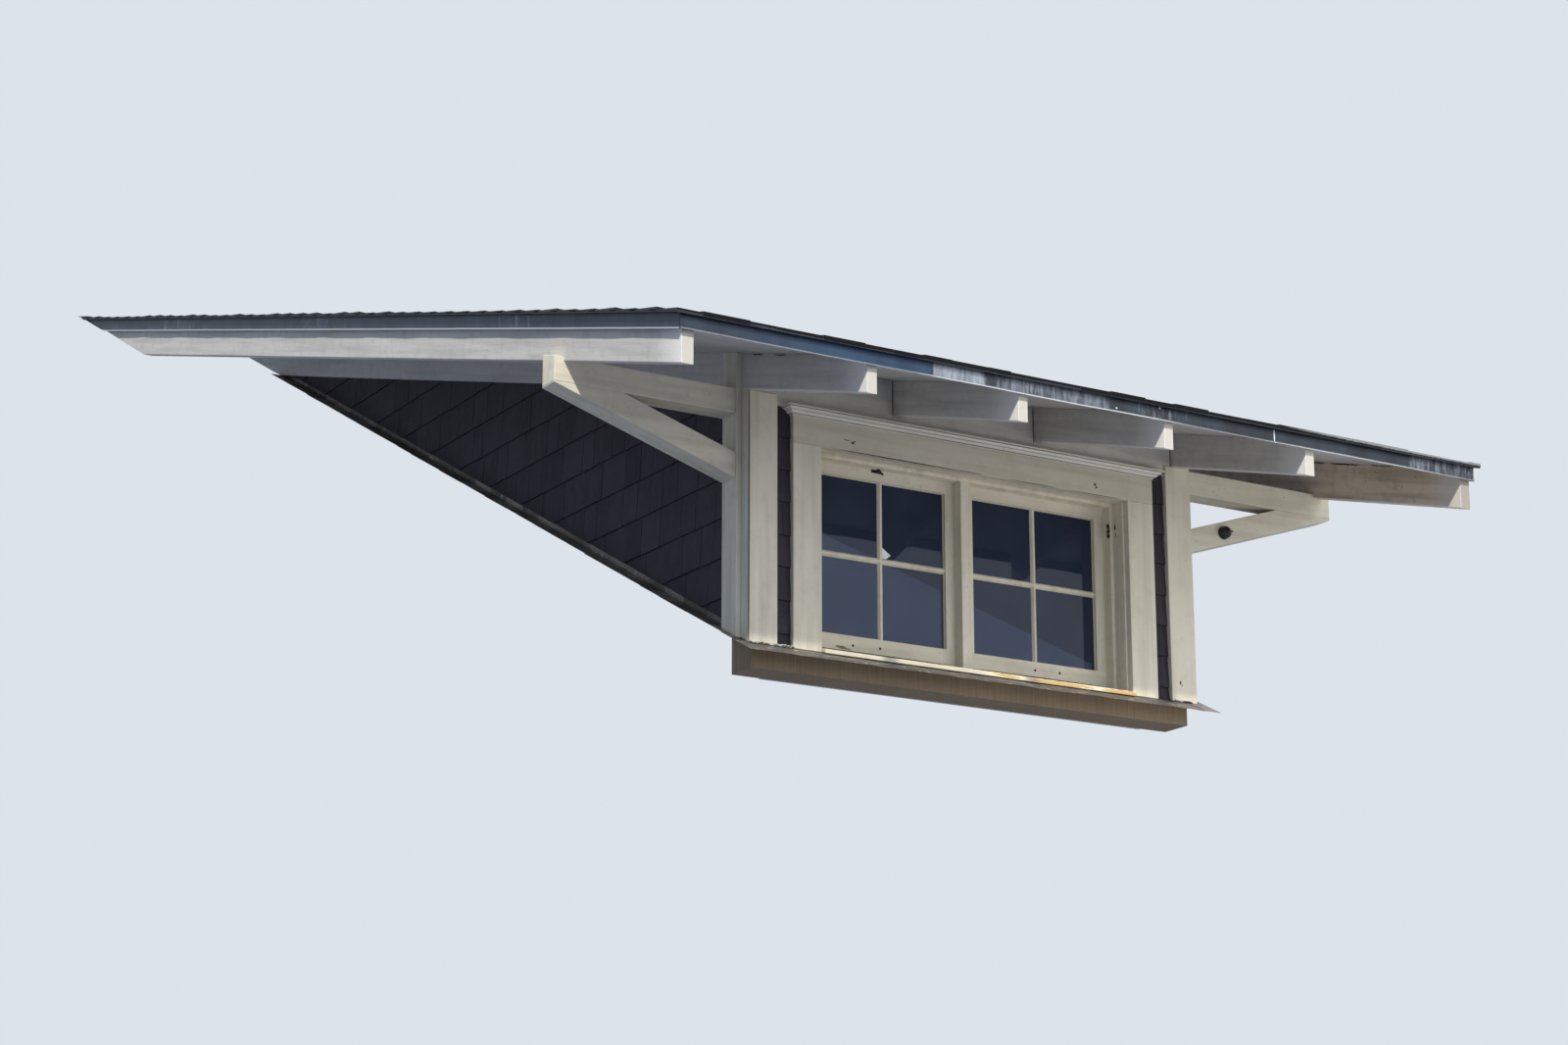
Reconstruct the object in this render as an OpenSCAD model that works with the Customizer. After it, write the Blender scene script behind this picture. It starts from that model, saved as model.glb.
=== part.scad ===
// Shed dormer with a pair of casement windows, exposed rafters and bracketed side overhangs.
// The dormer is a wedge that stands on a sloping roof: x runs along the front wall,
// y runs back up the roof, z is up. The origin is the middle of the front sole's underside.

/* [Pitches] */
// Angle of the roof that the dormer stands on, 6 in 12
seat_angle = 26.565; // [24:0.5:32]
// Angle of the dormer's own roof, 3.5 in 12
roof_angle = 16.26; // [13:0.5:18]

/* [Walls] */
// Width of the front wall over its corner boards
front_w = 1906; // [1640:2:2200]
// Height of the rafters' underside above the origin
eave_h = 998; // [880:1:1150]
// Thickness of the front wall's framing and sheathing
wall_t = 132; // [110:1:160]
// Thickness of each side wall's framing and sheathing
cheek_t = 102; // [80:1:140]
// Thickness of the inside lining
lining_t = 12; // [9:1:20]
// Height of the double plate under the front wall
sole_h = 76; // [60:1:90]
// Thickness of the plate under each side wall
cheek_sole_t = 38; // [25:1:60]
// How far the foot of the trim is below the sole's top
foot_drop = 1; // [0:0.5:10]

/* [Trim] */
// Thickness of the corner boards and casings
trim_t = 28; // [19:1:34]
// Width of the front corner boards
corner_w = 114; // [90:1:140]
// Width of the side corner boards behind the wall's face
corner_side_w = 126; // [115:1:180]
// Width of the shingle strip between a corner board and a casing
strip_w = 63; // [50:1:90]
// Width of the window's side casings
casing_w = 115; // [90:1:130]
// Height of the head casing
head_h = 98; // [80:1:120]
// Height of the crown moulding over the head casing
crown_h = 29; // [20:1:36]
// Projection of the crown moulding in front of and beside the casing
crown_out = 35; // [20:1:45]
// Thickness of the frieze board under the rafters
frieze_t = 19; // [15:1:25]
// Height of the frieze board that shows under the rafters
frieze_show = 36; // [25:1:60]
// Thickness of the wall shingles
siding_t = 13; // [9:1:18]

/* [Window] */
// Thickness of the sashes
sash_t = 38; // [30:1:42]
// How far the sashes stand back from the face of the trim
sash_recess = 133; // [115:1:135]
// Width of the sash stiles
stile_w = 50; // [40:1:60]
// Height of the sash bottom rail
bottom_rail_h = 60; // [50:1:80]
// Height of the sash top rail
top_rail_h = 50; // [40:1:60]
// Gap beside and above each sash
sash_gap = 3; // [2:0.5:5]
// Gap under each sash
sash_foot_gap = 2; // [1:0.5:4]
// Thickness of the glass
glass_t = 5; // [3:1:8]
// How far the glass stands back in the sash
glass_back = 14; // [8:1:20]
// How far the frame stands inside the casings' edges
reveal = 6; // [3:1:10]
// Thickness of the window frame's jambs
jamb_t = 25; // [18:1:34]
// How far the stops stand in from the jambs
stop_w = 12; // [8:1:16]
// Depth of the stops from front to back
stop_d = 44; // [30:1:60]
// Width of the centre post between the sashes
mullion_w = 41; // [32:1:60]
// Width of the post's tongue between the two sashes
tongue_w = 14; // [8:1:24]

/* [Sill and flashing] */
// Height of the sill under the sashes, above the foot
sill_up = 52; // [45:1:65]
// How far the sill's nose stands in front of the trim
nose_out = 21; // [10:1:30]
// How far the sill nose's lower edge is below the foot
nose_drop = 4; // [0:1:5]
// Height of the sill nose's upper edge above the foot
nose_up = 12; // [8:1:16]
// Thickness of the flashing
flashing_t = 3; // [2:1:4]
// Width of the flashing that lies on the roof in front of the trim
apron_w = 85; // [60:1:110]
// Width of the side flashing that lies on the roof
step_w = 75; // [60:1:100]
// Height of the side flashing that stands up against the wall
step_h = 25; // [15:1:40]

/* [Roof] */
// Distance from the trim's face out to the rafters' ends
eave_out = 752; // [500:2:840]
// Distance from the corner boards out to the outer faces of the end rafters
rake_out = 688; // [500:2:800]
// Width of the wall rafters
rafter_w = 38; // [32:1:60]
// How far the right-hand wall rafter stands in from the corner boards' outer face
rafter_inset = 38; // [30:1:60]
// Depth of the wall rafters, square to the slope
rafter_d = 125; // [100:1:150]
// Width of the two end rafters
fly_w = 44; // [36:1:70]
// How much deeper the end rafters are, and so how deep they are notched over the arms
fly_notch = 15; // [8:1:25]
// Thickness of the roof boards
deck_t = 16; // [12:1:25]
// Thickness of the roof shingles
roofing_t = 18; // [12:1:22]
// How far the roof boards stand past the rafters
deck_out = 10; // [6:1:20]
// Thickness of the metal edge
edge_t = 3; // [2:1:4]
// Height of the metal edge
edge_h = 53; // [36:1:60]
// Size of the turned hem along the metal edge's foot
hem = 6; // [4:1:8]
// How far the shingles stand past the metal edge
shingle_out = 20; // [10:1:30]

/* [Brackets] */
// Size of the square arm, and width of the brace
beam = 89; // [70:1:100]
// Distance from the trim's face back to the arm's front face
bracket_back = 56; // [50:1:66]
// How far the arms run past the end rafters
arm_past = 34; // [20:1:50]
// Thickness of the leg board on the side of the corner
leg_t = 20; // [15:1:38]
// How far the leg board stands out on each side of the arm
leg_margin = 5; // [0:1:8]
// Height of the brace, measured plumb
brace_h = 90; // [70:1:110]
// Distance from the arm's underside down to the brace's upper face at the leg
brace_drop = 142; // [100:1:200]
// Height of the blunt end of the brace under the arm's outer end
brace_nose = 5; // [3:1:12]
// Diameter of the round lamp on the right brace
lamp_d = 50; // [40:1:70]
// Distance from the leg to the lamp's centre
lamp_x = 176; // [120:2:240]

/* [Hidden] */
$fn = 48;
// Number of rafters across the front wall, one for each wall_rafter node
wall_rafters = 4;
// How far each of them stands off its even place, as the old roof has it
rafter_wander = [0, -14, -16, -3];
// Bands of the crown moulding: foot and top as shares of its height, then share of its projection
crown_bands = [[0, 0.35, 0.34], [0.35, 0.72, 0.68], [0.72, 1, 1]];
// Outline of the lamp in shares of its radius: distance from its axis, then depth from its back
lamp_profile = [[0, 0], [1, 0], [1, 0.7], [0.8, 1.1], [0.35, 1.35], [0, 1.4]];

cream = "#d8d3bb";
dark_siding = "#2f2b30";
shingle_grey = "#3b4048";
metal = "#4a4d52";
timber = "#c9a878";
plaster = "#dcdad2";
clear = "#39434d";
lamp_black = "#17181a";

foot_h = sole_h - foot_drop;
seat_slope = tan(seat_angle);
roof_slope = tan(roof_angle);
face_y = -wall_t / 2;
back_y = wall_t / 2;
room_y = back_y + lining_t;
trim_y = face_y - trim_t;
frieze_y = face_y - frieze_t;
sash_y = trim_y + sash_recess;
stop_y = sash_y - stop_d;
glass_y = sash_y + glass_back;
nose_y = trim_y - nose_out;

// The front wall's width is shared out from its corners in to the sashes
half = front_w / 2;
wall_x = half - trim_t;
room_x = wall_x - cheek_t;
corner_x = half - corner_w;
casing_x = corner_x - strip_w;
open_x = casing_x - casing_w;
jamb_x = open_x - reveal;
rough_x = jamb_x + jamb_t;
sash_in = tongue_w / 2 + sash_gap;
sash_w = jamb_x - sash_gap - sash_in;

// The seat and the rafters' underside are planes: a height at y = 0, and a slope
seat_0 = foot_h - seat_slope * trim_y;
function seat(y) = seat_0 + seat_slope * y;
function under(y) = eave_h + roof_slope * y;
// The y at which a line parallel to the roof, lift above the rafters' underside,
// comes down to a line parallel to the seat, rise above it
function meet(lift, rise = 0) = (eave_h + lift - seat_0 - rise) / (seat_slope - roof_slope);

// The front wall's height is shared out from the rafters down to the sashes
frieze_z = under(frieze_y) - frieze_show;
crown_z = frieze_z - crown_h;
head_z = crown_z - head_h;
frame_z = head_z + reveal;
rough_z = frame_z + jamb_t;
sill_z = foot_h + sill_up;
sash_low = sill_z + sash_foot_gap;
sash_h = frame_z - sash_gap - sash_low;
glass_w = sash_w - 2 * stile_w;
glass_h = sash_h - bottom_rail_h - top_rail_h;

sill_slope = (sill_up - nose_up) / (sash_y - nose_y);
function sill(y) = min(sill_z, foot_h + nose_up + sill_slope * (y - nose_y));

rafter_plumb = rafter_d / cos(roof_angle);
notch_plumb = fly_notch / cos(roof_angle);
deck_plumb = deck_t / cos(roof_angle);
roofing_plumb = roofing_t / cos(roof_angle);
sole_plumb = cheek_sole_t / cos(seat_angle);
rafter_pitch = (front_w - rafter_w - rafter_inset) / (wall_rafters - 1);
end_y = trim_y - eave_out;
fly_x = half + rake_out;
deck_x = fly_x + deck_out;
deck_y = end_y - deck_out;
edge_x = deck_x + edge_t;
edge_y = deck_y - edge_t;
roofing_x = edge_x + shingle_out;
roofing_y = edge_y - shingle_out;

arm_y = trim_y + bracket_back;
arm_z = under(arm_y) - beam;
arm_x = fly_x + arm_past;
leg_x = half + leg_t;
brace_z = arm_z - brace_drop;
brace_foot = brace_z - brace_h;
brace_slope = (arm_z - brace_nose - brace_foot) / (arm_x - leg_x);
// How far a cutter runs past what it cuts
past = lining_t;

// A shape drawn in the y and z plane, carried along x
module along_x(x0, x1) {
    translate([x0, 0, 0]) rotate([90, 0, 90]) linear_extrude(x1 - x0) children();
}

// Mirrors a right-hand piece to the left when side is -1
module on_side(side) {
    if (side > 0) children();
    else mirror([1, 0, 0]) children();
}

// A board that stands on the flashing and is cut to the seat's slope at its foot
module standing(x0, x1, y0, y1, top0, top1, lift = flashing_t) {
    along_x(x0, x1) polygon([
        [y0, seat(y0) + lift], [y1, seat(y1) + lift], [y1, top1], [y0, top0]
    ]);
}

// A layer parallel to the roof, from lift to lift + t, cut to the seat at its back
module roof_layer(x0, x1, y0, lift, t) {
    along_x(x0, x1) polygon([
        [y0, under(y0) + lift],
        [meet(lift), under(meet(lift)) + lift],
        [meet(lift + t), under(meet(lift + t)) + lift + t],
        [y0, under(y0) + lift + t]
    ]);
}

module front_sole() {
    color(timber) translate([-wall_x, face_y, 0]) cube([2 * wall_x, wall_t, sole_h]);
}

module front_wall(side) {
    color(timber) on_side(side) along_x(rough_x, wall_x) polygon([
        [face_y, sole_h], [back_y, sole_h], [back_y, under(back_y)], [face_y, under(face_y)]
    ]);
}

module front_header() {
    color(timber) along_x(-rough_x, rough_x) polygon([
        [face_y, rough_z], [back_y, rough_z], [back_y, under(back_y)], [face_y, under(face_y)]
    ]);
}

module cheek(side) {
    last = meet(0, sole_plumb);
    color(timber) on_side(side) along_x(room_x, wall_x) polygon([
        [back_y, seat(back_y) + sole_plumb], [last, under(last)], [back_y, under(back_y)]
    ]);
}

module cheek_sole(side) {
    last = meet(0);
    top = meet(0, sole_plumb);
    color(timber) on_side(side) along_x(room_x, wall_x) polygon([
        [back_y, seat(back_y)], [last, under(last)], [top, under(top)],
        [back_y, seat(back_y) + sole_plumb]
    ]);
}

module front_siding() {
    color(dark_siding) for (side = [-1, 1]) on_side(side)
        standing(casing_x, corner_x, face_y - siding_t, face_y, frieze_z, frieze_z);
}

// The left rafter covers the wall's top. The right one stands in from it, so there the
// corner boards, the shingles and the flashing run on up to the roof boards.
function cover(side) = side > 0 ? rafter_plumb : 0;

module cheek_siding(side) {
    start = face_y + corner_side_w;
    last = meet(cover(side), step_h);
    color(dark_siding) on_side(side) along_x(wall_x, wall_x + siding_t) polygon([
        [start, seat(start) + step_h], [last, seat(last) + step_h],
        [start, under(start) + cover(side)]
    ]);
}

module corner_boards(side) {
    y1 = face_y + corner_side_w;
    color(cream) on_side(side) union() {
        standing(corner_x, half, trim_y, face_y, under(trim_y), under(face_y));
        standing(half - rafter_inset, half, trim_y, face_y,
            under(trim_y) + cover(side), under(face_y) + cover(side));
        standing(wall_x, half, face_y, y1, under(face_y) + cover(side),
            under(y1) + cover(side));
    }
}

module side_casings() {
    color(cream) for (side = [-1, 1]) on_side(side)
        standing(open_x, casing_x, trim_y, face_y, head_z, head_z);
}

module head_casing() {
    color(cream) translate([-casing_x, trim_y, head_z]) cube([2 * casing_x, trim_t, head_h]);
}

// The moulding steps out in two bands under a square cap, and returns at both ends
module crown_moulding() {
    color(cream) union() for (b = crown_bands) {
        out = crown_out * b[2];
        translate([-casing_x - out, trim_y - out, crown_z + crown_h * b[0]])
            cube([2 * (casing_x + out), trim_t + out, crown_h * (b[1] - b[0])]);
    }
}

// A strip under the rafters, with a block between each pair of them up to the roof boards
module frieze_board() {
    color(cream) union() {
        along_x(-corner_x, corner_x) polygon([
            [frieze_y, frieze_z], [face_y, frieze_z], [face_y, under(face_y)],
            [frieze_y, under(frieze_y)]
        ]);
        for (i = [1 : wall_rafters - 1])
            along_x(rafter_left(i) + rafter_w, rafter_left(i + 1)) polygon([
                [frieze_y, under(frieze_y)], [face_y, under(face_y)],
                [face_y, under(face_y) + rafter_plumb],
                [frieze_y, under(frieze_y) + rafter_plumb]
            ]);
    }
}

module window_sill() {
    color(cream) union() {
        along_x(-rough_x, rough_x) polygon([
            [face_y, sole_h], [room_y, sole_h], [room_y, sill_z], [sash_y, sill_z],
            [face_y, sill(face_y)]
        ]);
        along_x(-open_x, open_x) polygon([
            [nose_y, foot_h - nose_drop], [trim_y, seat(trim_y) + flashing_t],
            [face_y, seat(face_y) + flashing_t], [face_y, sill(face_y)],
            [nose_y, foot_h + nose_up]
        ]);
    }
}

// Jambs and head, with a stop in front of the sashes
module window_frame() {
    color(cream) union() {
        for (side = [-1, 1]) on_side(side) {
            upright_on_sill(jamb_x, rough_x, face_y, room_y, rough_z);
            upright_on_sill(jamb_x - stop_w, jamb_x, stop_y, sash_y, frame_z);
        }
        translate([-jamb_x, face_y, frame_z]) cube([2 * jamb_x, room_y - face_y, jamb_t]);
        translate([-jamb_x, stop_y, frame_z - stop_w]) cube([2 * jamb_x, stop_d, stop_w]);
    }
}

module upright_on_sill(x0, x1, y0, y1, top) {
    mid = min(max(sash_y, y0), y1);
    along_x(x0, x1) polygon([
        [y0, sill(y0)], [mid, sill(mid)], [y1, sill(y1)], [y1, top], [y0, top]
    ]);
}

module mullion() {
    color(cream) union() {
        upright_on_sill(-mullion_w / 2, mullion_w / 2, stop_y, sash_y, frame_z - stop_w);
        upright_on_sill(-tongue_w / 2, tongue_w / 2, sash_y, room_y, frame_z);
    }
}

module sash(side) {
    color(cream) on_side(side) difference() {
        translate([sash_in, sash_y, sash_low]) cube([sash_w, sash_t, sash_h]);
        translate([sash_in + stile_w, sash_y - past, sash_low + bottom_rail_h])
            cube([glass_w, sash_t + 2 * past, glass_h]);
    }
}

module glass(side) {
    color(clear) on_side(side)
        translate([sash_in + stile_w, glass_y, sash_low + bottom_rail_h])
        cube([glass_w, glass_t, glass_h]);
}

// Sheet on the roof in front of the wall
module apron_flashing() {
    y0 = trim_y - apron_w;
    color(metal) along_x(-wall_x, wall_x) polygon([
        [y0, seat(y0)], [face_y, seat(face_y)],
        [face_y, seat(face_y) + flashing_t], [y0, seat(y0) + flashing_t]
    ]);
}

// Sheet on the roof beside the wall, turned up against it behind the corner
module step_flashing(side) {
    y0 = trim_y - apron_w;
    y1 = face_y + corner_side_w;
    last = meet(cover(side));
    tip = meet(cover(side), flashing_t);
    top = meet(cover(side), step_h);
    color(metal) on_side(side) union() {
        along_x(wall_x, wall_x + step_w) polygon([
            [y0, seat(y0)], [last, seat(last)],
            [last, seat(last) + flashing_t], [y0, seat(y0) + flashing_t]
        ]);
        along_x(wall_x, wall_x + flashing_t) polygon([
            [y1, seat(y1) + flashing_t], [tip, seat(tip) + flashing_t],
            [top, seat(top) + step_h], [y1, seat(y1) + step_h]
        ]);
    }
}

function rafter_left(i) = -half + (i - 1) * rafter_pitch + rafter_wander[i - 1];

module wall_rafter(i) {
    color(cream)
        roof_layer(rafter_left(i), rafter_left(i) + rafter_w, end_y, 0, rafter_plumb);
}

module fly_rafter(side) {
    color(cream) on_side(side) difference() {
        roof_layer(fly_x - fly_w, fly_x, end_y, -notch_plumb, rafter_plumb + notch_plumb);
        arm_shape(fly_x - fly_w - past, fly_x + past);
    }
}

module roof_deck() {
    color(cream) roof_layer(-deck_x, deck_x, deck_y, rafter_plumb, deck_plumb);
}

module roofing() {
    color(shingle_grey)
        roof_layer(-roofing_x, roofing_x, roofing_y, rafter_plumb + deck_plumb, roofing_plumb);
}

// Metal face over the ends of the roof boards, with a hem turned out along its foot
module edge_front() {
    top = under(deck_y) + rafter_plumb + deck_plumb;
    color(metal) along_x(-edge_x, edge_x) polygon([
        [deck_y, top - edge_h], [deck_y, top], [edge_y, top - roof_slope * edge_t],
        [edge_y, top - edge_h + hem], [edge_y - hem, top - edge_h + hem / 2],
        [edge_y - hem, top - edge_h], [edge_y, top - edge_h]
    ]);
}

module edge_side(side) {
    lift = rafter_plumb + deck_plumb;
    color(metal) on_side(side) union() {
        roof_layer(deck_x, edge_x, deck_y, lift - edge_h, edge_h);
        roof_layer(edge_x, edge_x + hem, deck_y, lift - edge_h, hem / 2);
    }
}

module bracket_leg(side) {
    y0 = arm_y - leg_margin;
    y1 = arm_y + beam + leg_margin;
    color(cream) on_side(side)
        standing(half, leg_x, y0, y1, under(y0) + rafter_plumb, under(y1) + rafter_plumb);
}

// The arm's top is bevelled to the slope of the rafters
module arm_shape(x0, x1) {
    y1 = arm_y + beam;
    along_x(x0, x1) polygon([
        [arm_y, arm_z], [y1, arm_z], [y1, under(y1)], [arm_y, under(arm_y)]
    ]);
}

module bracket_arm(side) {
    color(cream) on_side(side) arm_shape(leg_x, arm_x);
}

// The brace rises from the leg to the arm's underside and ends flush with the arm
module bracket_brace(side) {
    apex = leg_x + brace_drop / brace_slope;
    color(cream) on_side(side) translate([0, arm_y + beam, 0]) rotate([90, 0, 0])
        linear_extrude(beam) polygon([
            [leg_x, brace_foot], [arm_x, arm_z - brace_nose], [arm_x, arm_z],
            [apex, arm_z], [leg_x, brace_z]
        ]);
}

module brace_lamp() {
    r = lamp_d / 2;
    zc = brace_z - brace_h / 2 + lamp_x * brace_slope;
    color(lamp_black) translate([leg_x + lamp_x, arm_y, zc]) rotate([90, 0, 0])
        rotate_extrude() polygon([for (p = lamp_profile) p * r]);
}

module front_lining() {
    color(plaster) difference() {
        along_x(-room_x + lining_t, room_x - lining_t) polygon([
            [back_y, 0], [room_y, 0], [room_y, under(room_y)], [back_y, under(back_y)]
        ]);
        translate([-rough_x, back_y - past, sole_h])
            cube([2 * rough_x, lining_t + 2 * past, rough_z - sole_h]);
    }
}

module cheek_lining(side) {
    last = meet(0);
    color(plaster) on_side(side) along_x(room_x - lining_t, room_x) polygon([
        [back_y, seat(back_y)], [last, seat(last)], [back_y, under(back_y)]
    ]);
}

front_sole();
front_wall(-1);  // front_wall_left
front_wall(1);  // front_wall_right
front_header();
cheek(-1);  // cheek_left
cheek(1);  // cheek_right
cheek_sole(-1);  // cheek_sole_left
cheek_sole(1);  // cheek_sole_right
front_siding();
cheek_siding(-1);  // cheek_siding_left
cheek_siding(1);  // cheek_siding_right
corner_boards(-1);  // corner_boards_left
corner_boards(1);  // corner_boards_right
side_casings();
head_casing();
crown_moulding();
frieze_board();
window_sill();
window_frame();
mullion();
sash(-1);  // sash_left
sash(1);  // sash_right
glass(-1);  // glass_left
glass(1);  // glass_right
apron_flashing();
step_flashing(-1);  // step_flashing_left
step_flashing(1);  // step_flashing_right
wall_rafter(1);  // wall_rafter_1
wall_rafter(2);  // wall_rafter_2
wall_rafter(3);  // wall_rafter_3
wall_rafter(4);  // wall_rafter_4
fly_rafter(-1);  // fly_rafter_left
fly_rafter(1);  // fly_rafter_right
roof_deck();
roofing();
edge_front();
edge_side(-1);  // edge_left
edge_side(1);  // edge_right
bracket_leg(-1);  // bracket_leg_left
bracket_arm(-1);  // bracket_arm_left
bracket_brace(-1);  // bracket_brace_left
bracket_leg(1);  // bracket_leg_right
bracket_arm(1);  // bracket_arm_right
bracket_brace(1);  // bracket_brace_right
brace_lamp();
front_lining();
cheek_lining(-1);  // cheek_lining_left
cheek_lining(1);  // cheek_lining_right
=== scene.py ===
# Looks of a shed dormer window: shingles, boards, mouldings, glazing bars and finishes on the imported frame
import math
import bmesh
import bpy
import numpy as np
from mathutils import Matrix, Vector


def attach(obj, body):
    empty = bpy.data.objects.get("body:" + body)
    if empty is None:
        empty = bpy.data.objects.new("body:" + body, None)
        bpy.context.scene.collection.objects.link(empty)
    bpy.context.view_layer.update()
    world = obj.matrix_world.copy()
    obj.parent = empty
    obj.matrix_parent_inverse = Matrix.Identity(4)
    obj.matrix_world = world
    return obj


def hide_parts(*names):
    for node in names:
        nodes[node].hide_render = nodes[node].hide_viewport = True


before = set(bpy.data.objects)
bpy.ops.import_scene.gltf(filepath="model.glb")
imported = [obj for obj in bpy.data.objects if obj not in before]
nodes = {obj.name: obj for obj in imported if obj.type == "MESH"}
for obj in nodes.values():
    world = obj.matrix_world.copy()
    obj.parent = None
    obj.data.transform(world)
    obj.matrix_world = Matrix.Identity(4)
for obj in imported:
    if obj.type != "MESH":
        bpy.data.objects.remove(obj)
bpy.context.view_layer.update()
dice = np.random.default_rng(31)

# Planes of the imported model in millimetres: the main roof that it sits on, the underside of its rafters, how far
# the rafters' and the boards' tops lie above that, and the outside of the front wall and of the side walls
planes = {"seatHeight": 122.0, "seatSlope": 0.5, "eaveHeight": 998.0, "roofSlope": 0.291663,
          "rafterLift": 130.21, "boardLift": 146.87, "frontFace": -66.0, "sideFace": 925.0}


def seatAt(y):
    return planes["seatHeight"] + planes["seatSlope"] * y


def underAt(y):
    return planes["eaveHeight"] + planes["roofSlope"] * y


def backAt(lift, rise=0.0):
    # where a line parallel to the roof, lift above the rafters' underside, meets the seat raised by rise
    drop = planes["eaveHeight"] + lift - planes["seatHeight"] - rise
    return drop / (planes["seatSlope"] - planes["roofSlope"])


# Tools for meshes: each shape is its points in millimetres and its faces


def prisms(ringsA, ringsB):
    # closed solids, one for each row: ring A joined to ring B by flat sides, with a cap on each
    rings = np.stack([ringsA, ringsB], axis=1)
    index = np.arange(rings[..., 0].size).reshape(rings.shape[:3])
    after = np.roll(index, -1, axis=2)
    quads = np.stack([index[:, 0], after[:, 0], after[:, 1], index[:, 1]], axis=-1).reshape(-1, 4)
    caps = np.concatenate([index[:, 0, ::-1], index[:, 1]])
    return rings.reshape(-1, 3), quads.tolist() + caps.tolist()


def bars(y, z, x0, x1):
    # closed solids along x, one for each row of outline points (y, z)
    return prisms(*(np.stack(np.broadcast_arrays(x, y, z), axis=-1) for x in (x0, x1)))


def tube(rings):
    # rings of points joined one after the next by flat sides, with a cap at each end
    index = np.arange(rings[..., 0].size).reshape(rings.shape[:2])
    after = np.roll(index, -1, axis=1)
    quads = np.stack([index[:-1], after[:-1], after[1:], index[1:]], axis=-1).reshape(-1, 4)
    return rings.reshape(-1, 3), quads.tolist() + [index[0, ::-1].tolist(), index[-1].tolist()]


def sweep(outline, centres, across, up=(0, 0, 1)):
    # a closed outline carried along a path: point = centre + outline x times across + outline y times up
    outline, centres, across, up = (np.asarray(a, float) for a in (outline, centres, across, up))
    return tube(centres[:, None] + outline[..., :1] * across[..., None, :] + outline[..., 1:] * up[..., None, :])


def circle(sides):
    turn = np.linspace(0, 2 * math.pi, sides, endpoint=False)
    return np.stack([np.cos(turn), np.sin(turn)], axis=1)


def turned(outline, centre, steps=32):
    # a surface of revolution: outline of (radius, depth), turned about a line through centre that runs along -Y
    radius, depth = np.asarray(outline, float).T[:, :, None]
    x, z = circle(steps).T
    return tube(np.stack([radius * x, 0 * x - depth, radius * z], axis=-1) + np.asarray(centre, float))


def beads(panes, outline):
    # an outline of (inset, y) carried round each pane x0, x1, z0, z1 with mitred corners
    corner = np.asarray(panes, float)[:, [[0, 2], [1, 2], [1, 3], [0, 3]]][:, :, None]
    inward = np.array([[1, 1], [-1, 1], [-1, -1], [1, -1]])[:, None]
    inset, y = np.asarray(outline, float).T
    x, z = np.moveaxis(corner + inward * inset[:, None], -1, 0)
    index = np.arange(x.size).reshape(x.shape)
    nextCorner = np.roll(index, -1, axis=1)
    quads = np.stack([index, np.roll(index, -1, axis=2), np.roll(nextCorner, -1, axis=2), nextCorner], axis=-1)
    return np.stack(np.broadcast_arrays(x, y, z), axis=-1).reshape(-1, 3), quads.reshape(-1, 4).tolist()


def faceTones(tones, butt=None):
    # a number for each face of four-sided prisms: -1 on the side that is the butt, which the shingle finishes paint
    # near black as painted shade, else the prism's own tone
    sides = np.repeat(np.asarray(tones)[:, None], 4, axis=1)
    if butt is not None:
        sides[:, butt] = -1.0
    return np.concatenate([sides.ravel(), tones, tones])


def gathered(shapes):
    # several shapes as one
    points, faces, start = [], [], 0
    for somePoints, someFaces in shapes:
        points.append(somePoints)
        faces += [[start + i for i in face] for face in someFaces]
        start += len(somePoints)
    return np.concatenate(points), faces


def settle(piece, replaced):
    # puts a piece on the frame, where it stands for the replaced nodes
    bpy.context.scene.collection.objects.link(piece)
    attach(piece, "root")
    if replaced:
        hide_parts(*replaced)


def addPiece(name, shape, material, slot, replaced=(), smooth=False, **attributes):
    # a shape as a mesh that rides on the frame, with a number for each point or face under each attribute's name
    points, faces = shape
    mesh = bpy.data.meshes.new(name)
    mesh.from_pydata((np.asarray(points) * 0.001).tolist(), [], faces)
    work = bmesh.new()
    work.from_mesh(mesh)
    bmesh.ops.recalc_face_normals(work, faces=work.faces)
    work.to_mesh(mesh)
    work.free()
    for key, values in attributes.items():
        domain = "POINT" if len(values) == len(points) else "FACE"
        mesh.attributes.new(key, "FLOAT", domain).data.foreach_set("value", np.asarray(values, np.float32))
    mesh.materials.append(material)
    if smooth:
        mesh.shade_smooth()
    settle(bpy.data.objects.new(name, mesh), replaced)


def easedCopy(name, node, width, material):
    # the node's own mesh, merged, with its flat faces made whole and its edges eased by width in millimetres
    mesh = bpy.data.meshes.new(name)
    work = bmesh.new()
    work.from_mesh(nodes[node].data)
    bmesh.ops.remove_doubles(work, verts=work.verts, dist=1e-5)
    bmesh.ops.dissolve_limit(work, angle_limit=0.01, verts=work.verts, edges=work.edges)
    bmesh.ops.recalc_face_normals(work, faces=work.faces)
    work.to_mesh(mesh)
    work.free()
    mesh.materials.clear()
    mesh.materials.append(material)
    for polygon in mesh.polygons:
        polygon.material_index = 0
    piece = bpy.data.objects.new(name, mesh)
    edge = piece.modifiers.new("easedEdges", "BEVEL")
    edge.width = width * 0.001
    edge.segments = 2
    edge.limit_method = "ANGLE"
    edge.angle_limit = math.radians(32)
    settle(piece, [node])


# Tools for materials: each works in the node tree that its first socket belongs to


def linear(hexColour):
    # an sRGB hex value as linear red, green, blue, alpha
    levels = np.array([int(hexColour[i:i + 2], 16) for i in (1, 3, 5)]) / 255
    straight = np.where(levels <= 0.04045, levels / 12.92, ((levels + 0.055) / 1.055) ** 2.4)
    return (*straight.tolist(), 1.0)


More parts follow.
